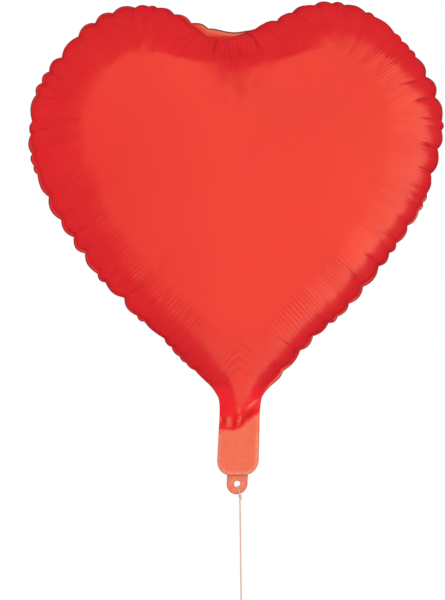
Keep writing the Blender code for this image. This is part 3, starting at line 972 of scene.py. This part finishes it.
def tail_place(sheet, front):
    """Where the flat tail lies: its plies are welded at their sides and open at the mouth."""
    widest = np.abs(sheet.flat[sheet.flat[:, 1] < sheet.crease_z, 0]).max()
    x = sheet.flat[:, 0] * TAIL_HALF_WIDTH / widest
    from_side = TAIL_HALF_WIDTH - np.abs(x)
    y = 0.0001 + (TAIL_SKIN_Y - 0.0001) * ease(from_side, 0.0, 0.0045)
    y += 0.00012 * np.exp(-((from_side - 0.0036) / 0.0006) ** 2)
    y += 0.00016 * np.sin(x * 210 + front) * np.sin(sheet.nominal_z * 160) * ease(from_side, 0.002, 0.008)
    return columns(x, front * y, sheet.nominal_z)


def outwards(rim):
    """The level direction straight out from the rim, at each point of it."""
    tangent = np.roll(rim, -1, axis=0) - np.roll(rim, 1, axis=0)
    outward = columns(-tangent[:, 2], np.zeros(len(tangent)), tangent[:, 0])
    return unit(outward)


def kept_clear(places, depth, front):
    """The foil again, kept clear of the valve's flap when it is open."""
    x, y, z = places.T
    room = FLAP_ROOM + FLAP_OPENING * np.maximum(0, z - FLAP_ROOT_Z)
    room *= 1 - ease(np.abs(x), FLAP_HALF_WIDTH + 0.0010, FLAP_HALF_WIDTH + 0.0030)
    room *= (depth > 0.004) & (z < NECK_TOP_Z + 0.02)
    return columns(x, front * np.maximum(front * y, room), z)


def foil_places(sheet, places, front):
    """The final shape of one foil, from its settled one, with its outward directions along the rim and the
    marks
    for its material: painted sheen, painted shade and gloss taken off as painted shade. front is -1 for the
    front foil and 1 for the rear one."""
    depth, along = sheet.depth, sheet.along
    places = blended(places, tail_place(sheet, front), ease(-sheet.nominal_z, 0.234, 0.2515))
    normals = normals_of(places, sheet.faces) * -front
    in_heart = ease(places[:, 2], -0.215, -0.180)
    facing = normals[:, 1] * front
    outward = outwards(places[:sheet.rim_count])
    way = unit(blended(outward[sheet.nearest], normals, ease(depth, 0.0, 0.008)))

    gather = drawn_in(along) * in_heart / (1 + (depth / PUCKER_FADE) ** 2) ** 1.3
    gather *= 1 - ease(depth, 0.018, 0.036) * ease(-places[:, 2], 0.115, 0.155)
    strength = 0.55 + 0.45 * wave(along, 0.035, 21 + front)
    wall = ease(facing, 0.40, 0.60) * (1 - ease(facing, 0.86, 0.975)) * strength * in_heart
    ripple = np.sin(2 * math.pi * along / RIPPLE_PITCH + 2.2 * wave(along, 0.018, 31 + front))
    creases = crease_depth(sheet, creases_of(front)) * in_heart
    places = places - way * (gather + creases - RIPPLE_HEIGHT * ripple * wall)[:, None]
    places[:, 1] += WELD_WAVE * wave(along, 0.021, 41) * np.exp(-depth / 0.008) * in_heart
    shade = creases / 0.0008 + 0.60 * wall * (0.5 - 0.5 * ripple) ** 2

    near = columns(places[:, 0] * -front, places[:, 2])
    # Painted highlight: painted sheen on the flat film below the last line.
    painted_sheen = ease(-near[:, 1] - np.interp(near[:, 0], *zip(*FLAT_BELOW)), -0.0008, 0.0010)
    for x0, z0, x1, z1, half_width, height in NECK_FOLDS:
        fold = valley(near, (x0, z0), (x1, z1), half_width)
        places[:, 1] += front * height * fold
        # Ridges get painted sheen, valleys painted shade.
        if height > 0:
            painted_sheen = np.maximum(painted_sheen, 0.85 * fold)
        else:
            shade += 0.8 * fold * (1 - painted_sheen)
    places = kept_clear(places, depth, front)
    # Beside the wedge of face the neck's sides get painted shade: their gloss is taken off.
    beside_wedge = np.abs(near[:, 0] - 0.0005) - np.interp(-near[:, 1], *zip(*WEDGE))
    neck = ease(-near[:, 1], 0.2040, 0.2120) * ease(beside_wedge, -0.0010, 0.0025)
    turned = np.clip(shade + 0.9 * neck * (1 - painted_sheen), 0, 1)
    return places, outward, {"shade": np.clip(shade, 0, 1), "painted_sheen": painted_sheen, "turned": turned}


def flange_places(rim_line, outward, along, front):
    """The welded flange beyond the rim, in rows outwards. It leans back, more in some places than in
    others, and lies nearly flat in the cleft."""
    lean = math.radians(52) + math.radians(20) * wave(along, 0.032, 51)
    lean = lean * ease(np.abs(along), 0.026, 0.060) + math.radians(8)
    width = ease(rim_line[:, 2], -0.232, -0.200)
    step = np.cos(lean)[:, None] * outward + np.sin(lean)[:, None] * np.array([0, 1, 0])
    rows = [rim_line + reach * width[:, None] * step + (0, front * 0.0001, 0) for reach in FLANGE_ROWS]
    return rows, width


def leaned(places):
    """The neck and tail hang slightly aslant."""
    places = places.copy()
    places[:, 0] -= TAIL_LEAN * np.maximum(0, NECK_TOP_Z - places[:, 2])
    return places


def add_foil(name, sheet, shape, front, foil, tail_foil):
    """One foil with its flange as one piece, and its flat lower end, the tail ply, as another."""
    places, outward, inside_marks = shape
    rows, width = flange_places(places[:sheet.rim_count], outward, sheet.rim_along, front)
    count, loop = len(places), sheet.rim_count
    vertices = leaned(np.concatenate([places] + rows))
    wide = (width > 0.02) | (np.roll(width, -1) > 0.02)
    quads = []
    for k in range(len(rows)):
        inner = 0 if k == 0 else count + (k - 1) * loop
        quads += [quad for quad, good in zip(band(inner, count + k * loop, loop), wide) if good]
    in_cleft = 1 - ease(np.abs(sheet.rim_along), 0.022, 0.050)
    in_tail = ease(-sheet.nominal_z, 0.2500, 0.2560)
    marks = {key: np.zeros(len(vertices)) for key in ("painted_sheen", "weld", "shade", "turned", "edge_shade")}
    for key, values in inside_marks.items():
        marks[key][:count] = values
    # Painted highlight on the rim in the cleft. The flange rows get a little painted sheen everywhere and
    # much in the cleft, where they lie flat, and there the weld tint adds more painted sheen.
    marks["painted_sheen"][:loop] = np.maximum(marks["painted_sheen"][:loop], 0.6 * in_cleft)
    for k in range(len(rows)):
        row = slice(count + k * loop, count + (k + 1) * loop)
        marks["painted_sheen"][row] = 0.15 + 0.85 * in_cleft
        marks["weld"][row] = 0.5 * in_cleft * (0.6 + 0.4 * wave(sheet.rim_along, 0.005, 71))
    marks["weld"][:count] = in_tail * (1 - ease(sheet.depth, 0.0028, 0.0044)) * 0.8
    # Painted shade along the tail's edge and mouth, and a dark painted outline on the flange's two outer
    # rows.
    marks["edge_shade"][:loop] = 0.8 * in_tail[:loop]
    marks["edge_shade"][count + (len(rows) - 2) * loop:] = 1
    halves = (("", [tuple(f) for f in sheet.faces[~sheet.tail_faces]] + quads, foil),
              ("_tail", [tuple(f) for f in sheet.faces[sheet.tail_faces]], tail_foil))
    made = []
    for ending, faces, material in halves:
        used = np.unique(np.array([k for f in faces for k in f]))
        renumber = np.zeros(len(vertices), int)
        renumber[used] = np.arange(len(used))
        faces = [tuple(renumber[k] for k in (f if front < 0 else f[::-1])) for f in faces]
        item = make_object(name + ending, vertices[used], faces)
        for key, values in marks.items():
            set_attribute(item, key, values[used])
        item.data.materials.append(material)
        made.append(item)
    return made


def make_tab(material):
    """The rear ply's tongue below the mouth, round at its end, with a punched hole. Its upper edge lies
    between the plies."""
    half, centre_z, hole_at = TAB_HALF_WIDTH, TAB_TIP_Z + TAB_HALF_WIDTH, np.array([0, HOLE_Z])
    side = np.linspace(TAB_TOP_Z, centre_z, 24)
    right = columns(np.full(len(side), half), side)
    turns = np.linspace(0, math.pi, 60)[1:-1]
    arc = columns(half * np.cos(turns), centre_z - half * np.sin(turns))
    loop = np.concatenate([right, arc, right[::-1] * [-1, 1]])
    turns = np.linspace(0, 2 * math.pi, 48, endpoint=False)
    circle = columns(np.cos(turns), np.sin(turns))
    grid = hexagonal(loop, 0.0006, 0.05, np.random.default_rng(8))
    from_hole = norm(grid - hole_at, axis=1) - HOLE_RADIUS
    grid = grid[(from_edge(loop, 0.0003, grid) > 0.0004) & (from_hole > 0.0009)]
    hole, ring = hole_at + HOLE_RADIUS * circle, hole_at + (HOLE_RADIUS + 0.0006) * circle
    flat, faces = triangles(np.concatenate([loop, hole, ring, grid]),
                            [np.arange(len(loop)), len(loop) + np.arange(len(hole))])
    faces = faces[norm(flat[faces].mean(axis=1) - hole_at, axis=1) > HOLE_RADIUS * 0.99]
    x, z = flat.T
    below = ease(-z, -MOUTH_Z - 0.0005, -MOUTH_Z + 0.0015)
    y = 0.0008 + 0.00035 * below
    y = y + below * (0.0007 * (x / half) ** 2 - 0.0005 * ease(-z, 0.3000, -TAB_TIP_Z))
    y += below * 0.00012 * np.sin(x * 900 + 2) * np.sin(z * 700)
    item = make_object("tie_tab_foil", leaned(columns(x, y, z)), faces)
    # Painted shade: a dark line round the tab's outline and its hole.
    edge = np.minimum(nearest_on(evenly(loop, 0.0003), flat)[1],
                      np.abs(norm(flat - hole_at, axis=1) - HOLE_RADIUS))
    set_attribute(item, "edge_shade", 0.8 * (1 - ease(edge, 0.0002, 0.0008)))
    # Painted sheen over the whole tab, lighter still through the weld tint below the mouth; painted shade
    # along its top, under the front ply.
    set_attribute(item, "weld", 0.6 * below)
    set_attribute(item, "painted_sheen", np.ones(len(flat)))
    set_attribute(item, "shade", 1 - ease(-z, -MOUTH_Z, -MOUTH_Z + 0.0016))
    item.data.materials.append(material)
    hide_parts("tie_tab")
    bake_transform(item)
    area_of(flat, faces)


def area_of(flat, faces):
    return float(np.abs(signed_areas(flat, faces)).sum())


def make_foils(foil, tail_foil):
    pattern, flat, faces, front_filled, rear_filled = filled_foils()
    rim = smoothed_loop(front_filled[:len(pattern.closed(pattern.half))], 10)
    rim[:, 1] = 0
    sheet = Sheet(pattern)
    for name, filled, front in (("front", front_filled, -1), ("rear", rear_filled, 1)):
        shape = foil_places(sheet, settled(sheet, flat, faces, filled, rim), front)
        skin, tail = add_foil(name + "_foil", sheet, shape, front, foil, tail_foil)
        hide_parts(name + "_panel")
        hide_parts("tail_" + name + "_ply")
        for item in (skin, tail):
            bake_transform(item)
        for item, faces_of, rests_on in ((skin, ~sheet.tail_faces, []), (tail, sheet.tail_faces, [skin])):
            cut = sheet.faces[faces_of]
            area_of(sheet.flat, cut)
    make_tab(tail_foil)


make_camera()
make_world()
make_stage()
red = foil_material("red_foil", RED, SHEEN_SALMON)
flat_red = foil_material("tail_foil", RED, SHEEN_SALMON)
fibre = fibre_material()
make_string(fibre)
make_foils(red, flat_red)
film = film_material()
for name in ("valve_rear_film", "valve_front_film", "inlet_front_film", "inlet_rear_film"):
    bpy.data.objects[name].material_slots[0].material = film
